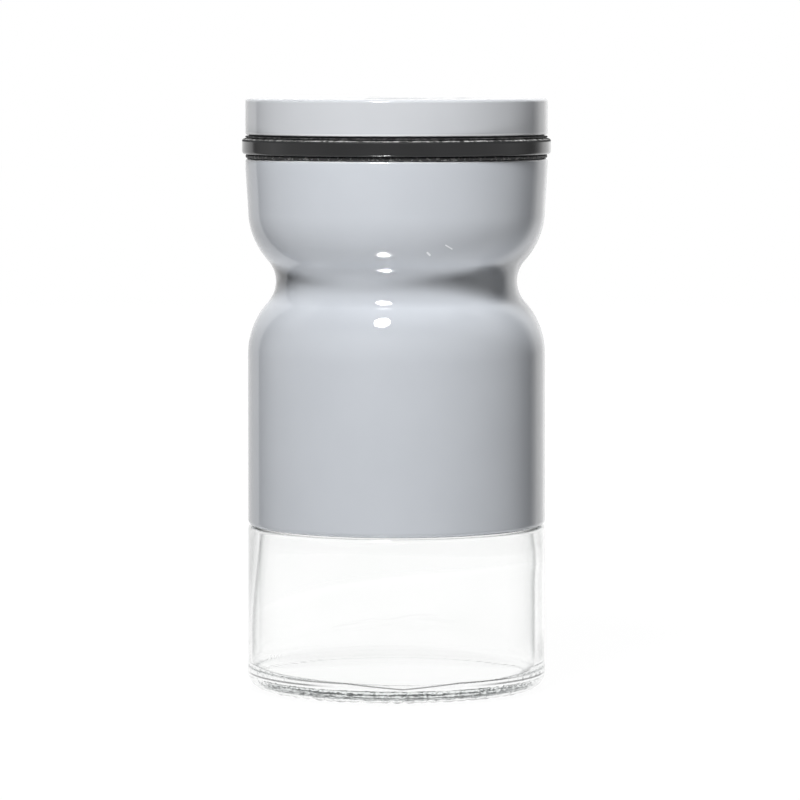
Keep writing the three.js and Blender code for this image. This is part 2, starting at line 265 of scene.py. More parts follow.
# Colours of plastic, dust, rubber and silicone
BLACK = (0.0, 0.0, 0.0)
PLASTIC_BLACKS = ((0.005, 0.005, 0.0055), (0.010, 0.010, 0.011))
PLASTIC_IOR = 1.43
BAND_DUST = (0.5, 0.5, 0.49)
LINER_DUST = (0.1, 0.1, 0.1)
DUST_REACH = 0.3
WEAR_REACH = 0.65
RUBBER_TONES = [(0.0, (0.010, 0.010, 0.011)), (0.52, (0.02, 0.02, 0.021)), (0.66, (0.3, 0.3, 0.29))]
SILICONE_TONES = ((0.63, 0.64, 0.61), (0.71, 0.72, 0.69))
SILICONE_CLOUD = 0.35
SILICONE_DEPTH = (0.002, 0.002, 0.002)

# Dial
LINER_RADIUS = 29.3
LINER_BORE = 27.9
LINER_LIP = 0.28
DISC_THICKNESS = 1.1
RING_BORE = 19.8
RING_RADIUS = 21.0
RING_DEPTH = 2.6
HUB_RADIUS = 3.6
HUB_END = 1.0
GROOVE_RADIUS = 2.8
GROOVE_EASE = 0.1
CLIP_BORE = 2.9
CLIP_MOUTH = 50
SETTINGS = 4
SETTING_STEP = 90
FRONT = -90
WINDOW_INNER = 5.9
WINDOW_OUTER = 16.0
WINDOW_HALF_ANGLE = 12
GROUP_RADIUS = (WINDOW_INNER + WINDOW_OUTER) / 2
WINDOW_WIDTH = WINDOW_OUTER - WINDOW_INNER
POUR_MARGIN = 1.0
COARSE_RADIUS = 1.4
COARSE_ROWS = (2, 3)
FINE_RADIUS = 0.8
FINE_ROWS = (2, 3, 4)
LINER_EASE = 0.15
DETENT_CIRCLE = 17.8
NIB_RADIUS = 0.8
NIB_GAP = 0.1
DIMPLE_RADIUS = 1.1
DIMPLE_DEPTH = 0.3
OVERRUN = 1.0
HOLE_ROUND = 0.14

# Camera and stage, in metres
CAMERA_PLACE = (0.0007, -0.942, 0.1277)
CAMERA_PITCH = 4.272
CAMERA_LENS = 213.25
CAMERA_SENSOR = 36.0
AIM = Vector((0, 0, 0.08))
STAGE_SIZE = 8.0
STAGE_DROP = 0.0002
STAGE_COLOUR = (0.035, 0.035, 0.035, 1)
STAGE_GLOW = (0.975, 1.0)
STAGE_SPREAD = (0.3, 1.5)
AMBIENT_LIGHT = 0.015
CEILING_LIGHT = 0.1
CEILING_RISE = (0.5, 0.75)
CARD_DISTANCE = 0.08
CARD_FOOT = -0.01
CARD_TOP = 0.16
CARD_FADE = 0.004
CARD_STEPS = 24
RIGHT_CARD = [(30, 1.0), (38, 1.45), (60, 1.45), (73, 0.34), (82, 0.36), (101, 1.0)]
LEFT_CARD = [(65, 1.0), (67, 0.33), (71, 0.33), (94, 1.0)]

# Axes along which a point's place counts
AROUND = (1, 1, 0)
FRONTAL = (1, 0, 1)


def node_span(node):
    """Foot, top and outer radius of a CAD node, in millimetres."""
    low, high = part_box(node)
    return low.z / MM, high.z / MM, high.x / MM


def dial_foot(node):
    """Foot of a ring of the dial, which sits a little lower than its solid."""
    return node_span(node)[0] - RING_DROP


def band_span():
    """Foot and top of the collar's grip band, which closes up to the dial above it."""
    above = dial_foot("dial_liner")
    return above - BAND_RISE - BAND_HEIGHT, above - SEAT_GAP


def blend(value, start, end):
    """Smooth step from 0 at start to 1 at end."""
    share = min(1.0, max(0.0, (value - start) / (end - start)))
    return share * share * (3 - 2 * share)


def polar(radius, angle):
    """A point of the plane, from its distance and its direction in radians."""
    return radius * cos(angle), radius * sin(angle)


def uneven(angle, patches, rise=0.0):
    """Smooth noise round a piece, from -1 to 1; a higher number makes more patches."""
    return noise.noise(Vector((*polar(1, angle), rise)) * patches)


# Profiles: points of radius and height that run up the outside and down the inside


def arc(radius, height, curve, start, end, steps):
    """Points on an arc about (radius, height), from one angle to another in degrees."""
    turns = [radians(start + (end - start) * i / steps) for i in range(steps + 1)]
    return [(radius + curve * cos(t), height + curve * sin(t)) for t in turns]


def spaced(start, end, steps):
    """Evenly spaced values from start to end, without the ends."""
    return [start + (end - start) * i / steps for i in range(1, steps)]


def ladder(radius, foot, top, rung):
    """Evenly spaced points up a straight wall, without its ends."""
    return [(radius, height) for height in spaced(foot, top, round((top - foot) / rung))]


def narrowing(wide, narrow, convex, concave, top, steps):
    """Two arcs that narrow a profile by a smooth double bend, which ends at the height top."""
    reach = convex + concave
    across = reach - (wide - narrow)
    rise = sqrt(reach * reach - across * across)
    slope = degrees(acos(across / reach))
    return [
        *arc(wide - convex, top - rise, convex, 0, slope, steps),
        *arc(narrow + concave, top, concave, 180 + slope, 180, steps)[1:],
    ]


def widening(wide, narrow, convex, concave, foot, steps):
    """The same double bend upside down, from the height foot."""
    mirrored = narrowing(wide, narrow, convex, concave, -foot, steps)
    return [(radius, -height) for radius, height in reversed(mirrored)]


def rounded(corners, usual=0.0):
    """A closed profile from its corners, rounded by the usual radius or by a corner's third value."""
    points = []
    for i, corner in enumerate(corners):
        here = Vector(corner[:2])
        curve = corner[2] if len(corner) > 2 else usual
        if not curve:
            points.append((here.x, here.y))
            continue
        to_last = (Vector(corners[i - 1][:2]) - here).normalized()
        to_next = (Vector(corners[(i + 1) % len(corners)][:2]) - here).normalized()
        half = to_last.angle(to_next) / 2
        centre = here + (to_last + to_next).normalized() * (curve / sin(half))
        first = here + to_last * (curve / tan(half)) - centre
        last = here + to_next * (curve / tan(half)) - centre
        start = atan2(first.y, first.x)
        sweep = (atan2(last.y, last.x) - start + pi) % (2 * pi) - pi
        for k in range(CORNER_STEPS + 1):
            x, y = polar(curve, start + sweep * k / CORNER_STEPS)
            points.append((centre.x + x, centre.y + y))
    return points


# Meshes


def set_all(thing, **settings):
    """A thing with some of its properties set."""
    for name, setting in settings.items():
        setattr(thing, name, setting)
    return thing


def add_object(name, data):
    """An object of the scene."""
    made = bpy.data.objects.new(name, data)
    bpy.context.scene.collection.objects.link(made)
    return made


def write_mesh(builder, mesh):
    """Fills a mesh from a bmesh, with smooth faces and sharp edges where two faces meet at a corner."""
    bmesh.ops.remove_doubles(builder, verts=builder.verts, dist=MERGE_DISTANCE)
    for face in builder.faces:
        face.smooth = True
    for edge in builder.edges:
        edge.smooth = edge.calc_face_angle(0.0) < SHARP_ANGLE
    builder.to_mesh(mesh)
    builder.free()


def new_object(name, builder):
    """An object from a bmesh."""
    mesh = bpy.data.meshes.new(name)
    write_mesh(builder, mesh)
    return add_object(name, mesh)


def bridge(builder, low, high):
    """Faces between two rings of as many points."""
    for k in range(len(low)):
        n = (k + 1) % len(low)
        builder.faces.new((low[k], low[n], high[n], high[k]))


def revolve(name, profile, turn_steps, shape=None):
    """A closed solid of revolution. A profile that starts on the axis also ends there. shape gives the
    place in millimetres of a point of the profile, from its radius, height and angle."""
    builder = bmesh.new()
    solid = profile[0][0] < AXIS_LIMIT
    rings = profile[1:-1] if solid else profile
    rows = []
    for radius, height in rings:
        row = []
        for k in range(turn_steps):
            angle = 2 * pi * k / turn_steps
            place = shape(radius, height, angle) if shape else (*polar(radius, angle), height)
            row.append(builder.verts.new(Vector(place) * MM))
        rows.append(row)
    for low, high in zip(rows, rows[1:]):
        bridge(builder, low, high)
    if solid:
        close_end(builder, list(reversed(rows[0])), profile[0][1], profile[1][1])
        close_end(builder, rows[-1], profile[-1][1], profile[-2][1])
    else:
        bridge(builder, rows[-1], rows[0])
    return new_object(name, builder)


def close_end(builder, ring, height, edge_height):
    """Closes a profile's end on the axis, with one face where it is flat and a fan where it isn't."""
    if abs(height - edge_height) < AXIS_LIMIT:
        builder.faces.new(ring)
        return
    pole = builder.verts.new((0, 0, height * MM))
    for k, vert in enumerate(ring):
        builder.faces.new((vert, ring[(k + 1) % len(ring)], pole))


def prism(builder, outline, foot, top):
    """Adds an upright prism of a flat outline that runs counterclockwise, in millimetres."""
    low, high = [[builder.verts.new(Vector((x, y, z)) * MM) for x, y in outline] for z in (foot, top)]
    builder.faces.new(list(reversed(low)))
    builder.faces.new(high)
    bridge(builder, low, high)


def combine(piece, outlines, operation):
    """Cuts prisms out of a piece or joins them to it; outlines holds (outline, foot, top)."""
    builder = bmesh.new()
    for outline, foot, top in outlines:
        prism(builder, outline, foot, top)
    tool = new_object("tool", builder)
    step = piece.modifiers.new("combine", "BOOLEAN")
    set_all(step, operation=operation, solver="EXACT", object=tool)
    apply_modifiers(piece)
    bpy.data.objects.remove(tool)


def apply_modifiers(piece):
    """Makes the evaluated mesh the piece's own mesh."""
    bpy.context.view_layer.update()
    evaluated = piece.evaluated_get(bpy.context.evaluated_depsgraph_get())
    mesh = bpy.data.meshes.new_from_object(evaluated)
    piece.modifiers.clear()
    builder = bmesh.new()
    builder.from_mesh(mesh)
    write_mesh(builder, mesh)
    piece.data = mesh


def round_edges(piece, width):
    """Small rounds on the sharp edges of a piece."""
    step = piece.modifiers.new("edges", "BEVEL")
    set_all(step, width=width * MM, segments=BEVEL_STEPS, limit_method="ANGLE", angle_limit=BEVEL_ANGLE)
    apply_modifiers(piece)


def place_piece(piece, node, body, material, even=True):
    """Puts a piece on its body, in place of its CAD node. Where it is even, its flat faces stay flat in
    shading beside their small rounds."""
    if even:
        step = piece.modifiers.new("even_normals", "WEIGHTED_NORMAL")
        set_all(step, mode="FACE_AREA", keep_sharp=True)
    piece.data.materials.clear()
    piece.data.materials.append(material)
    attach(piece, body)
    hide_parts(node)


# Outlines of the dial's openings and its detents


def circle(centre, radius):
    """A round outline about a point."""
    return arc(*centre, radius, 0, 360, HOLE_STEPS)[:-1]


def slot_outline(direction, half_width):
    """A curved slot with round ends on the openings' circle, about a direction in degrees."""
    start, end = direction - WINDOW_HALF_ANGLE, direction + WINDOW_HALF_ANGLE
    steps = HOLE_STEPS // 2

    def end_round(at, first):
        return arc(*polar(GROUP_RADIUS, radians(at)), half_width, first, first + 180, steps)

    sides = [
        arc(0, 0, GROUP_RADIUS + half_width, start, end, steps),
        end_round(end, end),
        arc(0, 0, GROUP_RADIUS - half_width, end, start, steps),
        end_round(start, start + 180),
    ]
    return [point for side in sides for point in side[:-1]]


def hole_outlines(direction, rows, radius):
    """Round holes in rows that share out the window's width, about a direction in degrees."""
    pitch = WINDOW_WIDTH / len(rows)
    outlines = []
    for row, count in enumerate(rows):
        distance = WINDOW_INNER + (row + 0.5) * pitch
        for i in range(count):
            angle = radians(direction) + (i - (count - 1) / 2) * pitch / distance
            outlines.append(circle(polar(distance, angle), radius))
    return outlines


def dial_openings(ease, foot, top):
    """Prisms of the pour slot, the coarse holes and the fine holes."""
    outlines = [
        slot_outline(FRONT, WINDOW_WIDTH / 2 - POUR_MARGIN + ease),
        *hole_outlines(FRONT + SETTING_STEP, COARSE_ROWS, COARSE_RADIUS + ease),
        *hole_outlines(FRONT + 2 * SETTING_STEP, FINE_ROWS, FINE_RADIUS + ease),
    ]
    return [(outline, foot, top) for outline in outlines]


def detent_outline(setting, radius):
    """The round outline of a detent, halfway between two settings."""
    return circle(polar(DETENT_CIRCLE, radians(FRONT + (setting + 0.5) * SETTING_STEP)), radius)


def thread_share(angle, height, span, phase):
    """How much of a screw thread's depth stands at a point of its wall, from 0 to 1."""
    pitch = THREAD_LEAD / THREAD_STARTS
    turn = THREAD_STARTS * (height / THREAD_LEAD - angle / (2 * pi)) + phase
    away = abs(turn - round(turn)) * pitch
    flank = 1 - blend(away, THREAD_CREST / 2, THREAD_CREST / 2 + THREAD_FLANK)
    fade_in = blend(height, span[0], span[0] + THREAD_FADE)
    fade_out = 1 - blend(height, span[1] - THREAD_FADE, span[1])
    return flank * fade_in * fade_out


# Pieces


def jar_outside(foot, top, heel_radius, neck_foot, thread_foot):
    """The jar's outer profile, from the middle of its hollow base to its rim."""
    punt_curve = (BEARING_INNER**2 + PUNT_HEIGHT**2) / (2 * PUNT_HEIGHT)
    punt_angle = degrees(atan2(BEARING_INNER, punt_curve - PUNT_HEIGHT))
    heel_fade = []
    for i in range(1, HEEL_FADE_STEPS + 1):
        inset = (heel_radius - BARREL_RADIUS) * blend(i, 0, HEEL_FADE_STEPS)
        heel_fade.append((heel_radius - inset, HEEL_CURVE + HEEL_FADE * i / HEEL_FADE_STEPS))
    ledge_edge = LEDGE_HEIGHT - LEDGE_ROUND
    ledge_fillet = (BODY_RADIUS + LEDGE_FILLET, LEDGE_HEIGHT + LEDGE_FILLET, LEDGE_FILLET)
    return [
        *arc(0, PUNT_HEIGHT - punt_curve, punt_curve, 90, 90 - punt_angle, PUNT_STEPS),
        *[(radius, foot) for radius in spaced(BEARING_INNER, BEARING_OUTER, BEARING_STEPS)],
        *arc(BEARING_OUTER, HEEL_CURVE, HEEL_CURVE, -90, 0, HEEL_STEPS),
        *heel_fade,
        *ladder(BARREL_RADIUS, HEEL_CURVE + HEEL_FADE, ledge_edge, BARREL_RUNG),
        *arc(BARREL_RADIUS - LEDGE_ROUND, ledge_edge, LEDGE_ROUND, 0, 90, LEDGE_STEPS),
        *arc(*ledge_fillet, 270, 180, FILLET_STEPS),
        *narrowing(BODY_RADIUS, NECK_RADIUS, JAR_SHOULDER, NECK_CURVE, neck_foot, SHOULDER_STEPS),
        *ladder(NECK_RADIUS, neck_foot, thread_foot, NECK_RUNG),
        *ladder(NECK_RADIUS, thread_foot, top - FINISH_ROUND, NECK_THREAD_RUNG),
        *arc(NECK_RADIUS - FINISH_ROUND, top - FINISH_ROUND, FINISH_ROUND, 0, 90, FINISH_STEPS),
    ]


def jar_inside(top, neck_foot):
    """The jar's inner profile, from the middle of its floor to its rim."""
    flat = BASE_BORE - FLOOR_CURVE
    shoulder = (JAR_SHOULDER - BODY_RADIUS + BODY_BORE, NECK_CURVE + NECK_RADIUS - MOUTH_RADIUS)
    return [
        (0, FLOOR_HEIGHT),
        *[(radius, FLOOR_HEIGHT) for radius in spaced(0, flat, FLOOR_STEPS)],
        *arc(flat, BORE_FOOT, FLOOR_CURVE, -90, 0, FLOOR_CURVE_STEPS),
        *ladder(BASE_BORE, BORE_FOOT, STEP_TOP, BORE_RUNG),
        *ladder(BODY_BORE, STEP_TOP, neck_foot - BORE_SHOULDER, BODY_RUNG),
        *narrowing(BODY_BORE, MOUTH_RADIUS, *shoulder, neck_foot, SHOULDER_STEPS),
        *arc(MOUTH_RADIUS + FINISH_ROUND, top - FINISH_ROUND, FINISH_ROUND, 180, 90, FINISH_STEPS),
    ]


def knurl_rise(radius, height, angle):
    """How far the knurl lifts a point of the jar's foot, in millimetres."""
    tooth = sin(KNURLS * angle / 2 + KNURL_DRIFT * uneven(angle, DRIFT_PATCHES)) ** 2
    depth = KNURL_DEPTH * (KNURL_MEAN + KNURL_SPREAD * uneven(angle, KNURL_PATCHES))
    return tooth * depth * (1 - blend(height, *KNURL_TOP)) * blend(radius, *KNURL_EDGE)


def bore_place(radius, height, angle):
    """Place of a point of the jar's bore, with its tilted step, its waves and its shift off the axis."""
    if BORE_FOOT < height < STEP_TOP:
        step_foot = STEP_FOOT + STEP_TILT * cos(angle)
        radius = BASE_BORE + (BODY_BORE - BASE_BORE) * blend(height, step_foot, STEP_TOP)
    wave = WAVE_DEPTH * uneven(angle, WAVE_PATCHES, height / WAVE_LENGTH)
    x, y = polar(radius + wave * blend(height, FLOOR_HEIGHT, WAVE_RISE), angle)
    shift = BORE_SHIFT * blend(height, FLOOR_HEIGHT, SHIFT_FULL) * (1 - blend(height, *SHIFT_FADE))
    return x - shift, y, height


def make_jar(material):
    """Glass jar: hollow knurled base, bare lower part, ledge, shoulder and threaded neck."""
    foot, top, heel_radius = node_span("glass_jar")
    neck_foot = node_span("outer_sleeve")[1] - WAIST_DROP - NECK_DROP
    thread = (top - NECK_THREAD[0], top - NECK_THREAD[1])
    outside = jar_outside(foot, top, heel_radius, neck_foot, thread[0])
    inside = jar_inside(top, neck_foot)
    bore = set(inside)

    def place(radius, height, angle):
        if (radius, height) in bore:
            return bore_place(radius, height, angle)
        lift = knurl_rise(radius, height, angle)
        if height > neck_foot and radius > NECK_RADIUS - WALL_LIMIT:
            radius += NECK_THREAD_DEPTH * thread_share(angle, height, thread, NECK_PHASE)
        return *polar(radius, angle), height + lift

    jar = revolve("jar_glass", [*outside, *reversed(inside)], FINE_TURN, place)
    place_piece(jar, "glass_jar", "jar", material, even=False)


def sleeve_face(inset, foot, top, rim_radius):
    """One face of the sleeve's sheet, upwards from its hem."""
    barrel = rim_radius - BARREL_INSET
    upper = rim_radius - UPPER_INSET
    waist = top - WAIST_DROP
    narrow, concave = WAIST_RADIUS - inset, WAIST_CURVE + inset
    return [
        *arc(barrel - HEM_BEND, foot + HEM_BEND, HEM_BEND - inset, -90, 0, HEM_STEPS),
        *narrowing(barrel - inset, narrow, LOWER_SHOULDER - inset, concave, waist, WAIST_STEPS),
        *widening(upper - inset, narrow, UPPER_SHOULDER - inset, concave, waist, WAIST_STEPS)[1:],
        (rim_radius - inset, top - RIM_BAND),
    ]


def make_sleeve(material):
    """Painted steel sleeve, from its rolled-in hem over the waist to the rim."""
    foot, top, rim_radius = node_span("outer_sleeve")
    profile = rounded([
        (HEM_RADIUS, foot + SHEET, SHEET_ROUND),
        (HEM_RADIUS, foot, SHEET_ROUND),
        *sleeve_face(0, foot, top, rim_radius),
        (rim_radius, top, EDGE_ROUND),
        (rim_radius - SHEET, top, SHEET_ROUND),
        *reversed(sleeve_face(SHEET, foot, top, rim_radius)),
    ])
    sleeve = revolve("sleeve_shell", profile, PLAIN_TURN)
    place_piece(sleeve, "outer_sleeve", "jar", material)


def make_gasket(material):
    """Rubber ring on the sleeve's rim, a little uneven outside, with a spigot inside it."""
    foot, solid_top, radius = node_span("rim_gasket")
    head_foot = solid_top - GASKET_HEAD
    top = band_span()[0] - SEAT_GAP
    profile = rounded([
        (GASKET_BORE, foot), (GASKET_SPIGOT, foot), (GASKET_SPIGOT, head_foot, 0),
        (radius, head_foot), (radius, top), (GASKET_BORE, top),
    ], MOULD_ROUND)

    def place(at_radius, height, angle):
        if at_radius > GASKET_SPIGOT + WALL_LIMIT:
            at_radius -= GASKET_UNEVEN * (1 + uneven(angle, GASKET_PATCHES, height / radius))
        return *polar(at_radius, angle), height

    gasket = revolve("gasket_ring", profile, FINE_TURN, place)
    place_piece(gasket, "rim_gasket", "jar", material)


def make_seal(material):
    """Flat ring between the jar's rim and the collar."""
    foot, top, radius = node_span("lid_seal")
    corners = [(MOUTH_RADIUS, foot), (radius, foot), (radius, top), (MOUTH_RADIUS, top)]
    seal = revolve("seal_ring", rounded(corners, MOULD_ROUND), PLAIN_TURN)
    place_piece(seal, "lid_seal", "seal", material)


def make_collar(material):
    """Screw collar: threaded skirt, flange with the grip band, chimney and deck with the window."""
    foot, top, radius = node_span("lid_collar")
    band_foot, band_top = band_span()
    web_foot = band_foot + BAND_HEIGHT - WEB_THICKNESS
    deck_foot = top - DECK_THICKNESS
    thread = (foot + SKIRT_THREAD[0], band_foot - SKIRT_THREAD[1])
    profile = rounded([
        (SKIRT_BORE, foot), (SKIRT_RADIUS, foot), (SKIRT_RADIUS, web_foot),
        (radius - BAND_WALL, web_foot), (radius - BAND_WALL, band_foot),
        (radius, band_foot, BAND_ROUND), (radius, band_top, BAND_ROUND),
        (CHIMNEY_RADIUS, band_top), (CHIMNEY_RADIUS, top), (HUB_HOLE, top), (HUB_HOLE, deck_foot),
        (CHIMNEY_BORE, deck_foot), (CHIMNEY_BORE, band_foot), (SKIRT_BORE, band_foot, 0),
    ], MOULD_ROUND)
    profile += reversed(ladder(SKIRT_BORE, foot + MOULD_ROUND, band_foot, SKIRT_THREAD_RUNG))

    def place(at_radius, height, angle):
        if abs(at_radius - SKIRT_BORE) < WALL_LIMIT:
            at_radius -= SKIRT_THREAD_DEPTH * thread_share(angle, height, thread, SKIRT_PHASE)
        if at_radius > radius - BAND_ROUND and height > band_top - BAND_ROUND:
            height -= BAND_WEAR * (1 + uneven(angle, BAND_PATCHES, height / radius))
        return *polar(at_radius, angle), height

    collar = revolve("collar_moulding", profile, FINE_TURN, place)
    cuts = [(slot_outline(FRONT, WINDOW_WIDTH / 2), deck_foot - OVERRUN, top + OVERRUN)]
    for setting in range(SETTINGS):
        cuts.append((detent_outline(setting, DIMPLE_RADIUS), top - DIMPLE_DEPTH, top + OVERRUN))
    combine(collar, cuts, "DIFFERENCE")
    place_piece(collar, "lid_collar", "lid", material)


def make_liner(material):
    """Plastic liner of the dial: grooved hub, disc, dust ring, detent nib, and wall with a foot."""
    top, radius = node_span("dial_liner")[1:]
    foot = dial_foot("dial_liner")
    clip_foot, clip_top = node_span("hub_clip")[:2]
    groove_foot, groove_top = clip_foot - GROOVE_EASE, clip_top + GROOVE_EASE
    disc_foot = top - DISC_THICKNESS
    ring_foot = disc_foot - RING_DEPTH
    profile = rounded([
        (0, groove_foot - HUB_END, 0), (HUB_RADIUS, groove_foot - HUB_END), (HUB_RADIUS, groove_foot),
        (GROOVE_RADIUS, groove_foot, 0), (GROOVE_RADIUS, groove_top, 0),
        (HUB_RADIUS, groove_top), (HUB_RADIUS, disc_foot),
        (RING_BORE, disc_foot), (RING_BORE, ring_foot), (RING_RADIUS, ring_foot), (RING_RADIUS, disc_foot),
        (LINER_BORE, disc_foot), (LINER_BORE, foot, LIP_ROUND),
        (radius, foot, LIP_ROUND), (radius, foot + LINER_LIP, LIP_ROUND),
        (LINER_RADIUS, foot + LINER_LIP, 0), (LINER_RADIUS, top), (0, top, 0),
    ], MOULD_ROUND)
    liner = revolve("liner_moulding", profile, PLAIN_TURN)
    nib_foot = node_span("lid_collar")[1] + NIB_GAP
    combine(liner, [(detent_outline(0, NIB_RADIUS), nib_foot, top - NIB_GAP)], "UNION")
    combine(liner, dial_openings(LINER_EASE, disc_foot - OVERRUN, top + OVERRUN), "DIFFERENCE")
    place_piece(liner, "dial_liner", "dial", material)


def make_cap(material):
    """Painted steel cap of the dial, with the openings of every setting."""
    top, radius = node_span("dial_cap")[1:]
    foot = dial_foot("dial_cap")
    profile = rounded([
        (0, top - SHEET),
        (radius - SHEET, top - SHEET, CAP_EDGE - SHEET),
        (radius - SHEET, foot, SHEET_ROUND),
        (radius, foot, SHEET_ROUND),
        (radius, top, CAP_EDGE),
        (0, top),
    ])
    cap = revolve("cap_shell", profile, PLAIN_TURN)
    combine(cap, dial_openings(0, top - SHEET - OVERRUN, top + OVERRUN), "DIFFERENCE")
    round_edges(cap, HOLE_ROUND)
    place_piece(cap, "dial_cap", "dial", material)


def make_clip(material):
    """C-shaped clip in the hub's groove, under the deck."""
    foot, top, radius = node_span("hub_clip")
    back = FRONT + 180
    start, end = back + CLIP_MOUTH, back + 360 - CLIP_MOUTH
    outline = [*arc(0, 0, radius, start, end, SMALL_TURN), *arc(0, 0, CLIP_BORE, end, start, SMALL_TURN)]
    builder = bmesh.new()
    prism(builder, outline, foot, top)
    clip = new_object("clip_ring", builder)
    round_edges(clip, MOULD_ROUND)
    place_piece(clip, "hub_clip", "dial", material)


# Steps of the materials


def new_material(name):
    """A material, its node tree and its main shader."""
    material = bpy.data.materials.new(name)
    material.use_nodes = True
    tree = material.node_tree
    return material, tree, tree.nodes["Principled BSDF"]


def set_inputs(tree, node, inputs):
    """Gives each input of a node its value, or a link where that is another node's output."""
    for key, value in inputs.items():
        if isinstance(value, bpy.types.NodeSocket):
            tree.links.new(value, node.inputs[key])
        else:
            node.inputs[key].default_value = value


def set_output(tree, **shaders):
    """What a material shows, as its surface or its volume."""
    set_inputs(tree, tree.nodes["Material Output"], shaders)


def add_node(tree, kind, inputs=(), **settings):
    """A node with its settings and inputs."""
    node = set_all(tree.nodes.new("ShaderNode" + kind), **settings)
    set_inputs(tree, node, dict(inputs))
    return node


def add_math(tree, operation, *values):
    """One step of arithmetic."""
    return add_node(tree, "Math", enumerate(values), operation=operation).outputs["Value"]


def add_vector(tree, operation, *values):
    """One step of arithmetic on vectors."""
    return add_node(tree, "VectorMath", enumerate(values), operation=operation).outputs


def add_most(tree, first, *others):
    """The highest of some sources."""
    for other in others:
        first = add_math(tree, "MAXIMUM", first, other)
    return first


def add_product(tree, first, *others):
    """The product of some sources."""
    for other in others:
        first = add_math(tree, "MULTIPLY", first, other)
    return first


def add_range(tree, source, low, high, start=0.0, end=1.0):
    """A source's values from start to end, spread from low to high."""
    inputs = {"Value": source, "From Min": start, "From Max": end, "To Min": low, "To Max": high}
    return add_node(tree, "MapRange", inputs).outputs["Result"]


def add_rise(tree, source, start, end):
    """From 0 at start to 1 at end."""
    return add_range(tree, source, 0, 1, start, end)


def add_limit(tree, source, start, end):
    """From 1 at start to 0 at end, both in millimetres, and level beyond them."""
    return add_range(tree, source, 1, 0, start * MM, end * MM)


def add_level(tree, source, level, reach):
    """1 within reach of a level, both in millimetres, and 0 elsewhere."""
    return add_math(tree, "COMPARE", source, level * MM, reach * MM)


def add_mix(tree, share, first, second, blend_type="MIX"):
    """Two colours as one."""
    inputs = {"Fac": share, "Color1": first, "Color2": second}
    return add_node(tree, "MixRGB", inputs, blend_type=blend_type).outputs["Color"]


def add_ramp(tree, source, stops):
    """Colours along a source from 0 to 1; stops holds (position, colour)."""
    ramp = add_node(tree, "ValToRGB", {"Fac": source})
    elements = ramp.color_ramp.elements
    while len(elements) < len(stops):
        elements.new(0.5)
    for element, (position, colour) in zip(elements, stops):
        element.position = position
        element.color = (*colour, 1)
    return ramp.outputs["Color"]


def add_place(tree, axes):
    """A point's place on its piece in metres, along some of the axes."""
    place = add_node(tree, "TexCoord").outputs["Object"]
    return add_vector(tree, "MULTIPLY", place, axes)["Vector"]


def add_axis(tree, axis):
    """A point's place on its piece along one axis, in metres."""
    place = add_node(tree, "TexCoord").outputs["Object"]
    return add_node(tree, "SeparateXYZ", {"Vector": place}).outputs[axis]


def add_radius(tree):
    """A point's distance from its piece's axis, in metres."""
    return add_vector(tree, "LENGTH", add_place(tree, AROUND))["Value"]


def add_noise(tree, size, detail):
    """Noise with features of about that size in millimetres, fixed to the piece."""
    place = add_node(tree, "TexCoord").outputs["Object"]
    inputs = {"Vector": place, "Scale": 1 / (size * MM), "Detail": detail}
    return add_node(tree, "TexNoise", inputs).outputs["Fac"]


def add_patches(tree, size, detail, colours, start=0.3, end=0.7):
    """Soft patches of two colours."""
    return add_ramp(tree, add_noise(tree, size, detail), [(start, colours[0]), (end, colours[1])])


def add_bump(tree, source, depth, strength, under=None):
    """A bump of a depth in millimetres, on top of another bump where one is given."""
    inputs = {"Height": source, "Distance": depth * MM, "Strength": strength}
    if under:
        inputs["Normal"] = under
    return add_node(tree, "Bump", inputs).outputs["Normal"]


def add_slant(tree):
    """0 where a face is seen straight on, up to 1 where it is seen edge on."""
    return add_node(tree, "LayerWeight", {"Blend": 0.5}).outputs["Facing"]


def seen_within(tree):
    """1 on a face that is seen from inside the glass, 0 from outside."""
    return add_node(tree, "NewGeometry").outputs["Backfacing"]


def seen_outside(tree):
    """1 on a face that is seen from outside the glass, 0 from inside."""
    return add_range(tree, seen_within(tree), 1, 0)


def add_stroke(tree, start, end, reach):
    """Up to 1 within reach of a short straight stroke on the front, given across and up in millimetres."""
    start = Vector((start[0], 0, start[1])) * MM
    stroke = Vector((end[0], 0, end[1])) * MM - start
    place = add_vector(tree, "SUBTRACT", add_place(tree, FRONTAL), start)["Vector"]
    along = add_vector(tree, "DOT_PRODUCT", place, stroke.normalized())["Value"]
    share = add_rise(tree, along, 0.0, stroke.length)
    nearest = add_node(tree, "VectorMath", {0: stroke, "Scale": share}, operation="SCALE")
    gap = add_vector(tree, "DISTANCE", place, nearest.outputs["Vector"])["Value"]
    front = add_limit(tree, add_axis(tree, "Y"), *NICK_SIDE)
    return add_product(tree, add_limit(tree, gap, reach * NICK_CORE, reach), front)


def inside_share(tree):
    """1 on faces that look towards the shaker's axis, 0 on the rest."""
    normal = add_node(tree, "TexCoord").outputs["Normal"]
    outward = add_vector(tree, "DOT_PRODUCT", add_place(tree, AROUND), normal)["Value"]
    return add_range(tree, outward, 1, 0, *INWARD_SPAN)


# Painted shade, painted dark lines and contact shade in the glass, with its blur and dents


def add_ring(tree, edge, level):
    """From 1 to 0 over a span of radius and a span of height, both in millimetres."""
    return add_product(
        tree,
        add_limit(tree, add_radius(tree), *edge),
        add_limit(tree, add_axis(tree, "Z"), *level),
    )


